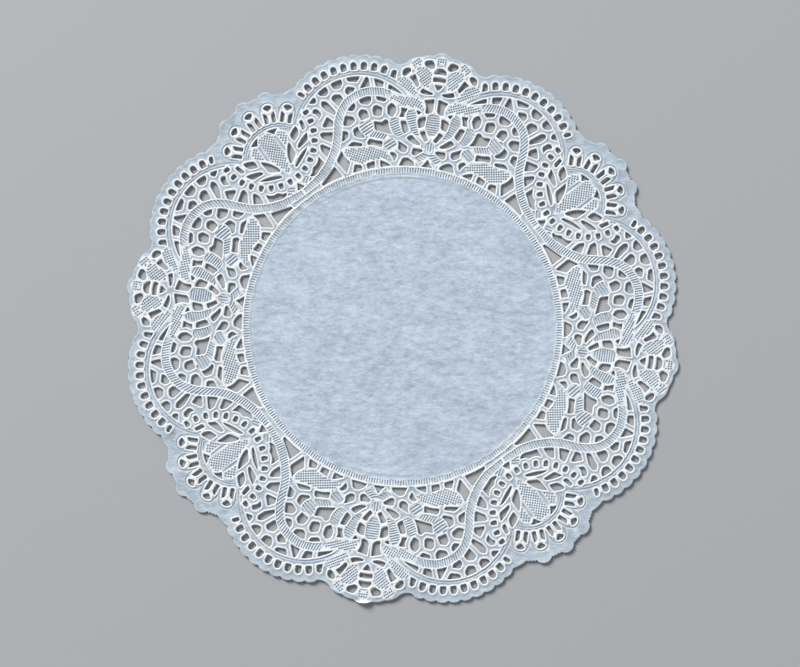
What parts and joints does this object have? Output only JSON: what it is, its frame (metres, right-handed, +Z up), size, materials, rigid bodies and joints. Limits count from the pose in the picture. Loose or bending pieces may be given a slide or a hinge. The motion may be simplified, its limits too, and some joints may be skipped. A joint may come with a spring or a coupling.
{
  "type": "paper doily",
  "caption": "Round openwork lace doily of white paper with a scalloped edge, laid flat under a plate, cake or ornament.",
  "frame": {"origin": "centre of the doily on its underside, where it rests", "axes": "+Z up out of the sheet, +X and +Y towards two of the four butterflies of the edge"},
  "size_m": [0.2032, 0.2032, 0.001],
  "materials": {
    "paper": "matt cool white embossed tissue paper, slightly mottled where its fibres lie thicker"
  },
  "bodies": {
    "root": {"doily": "paper"}
  },
  "joints": []
}
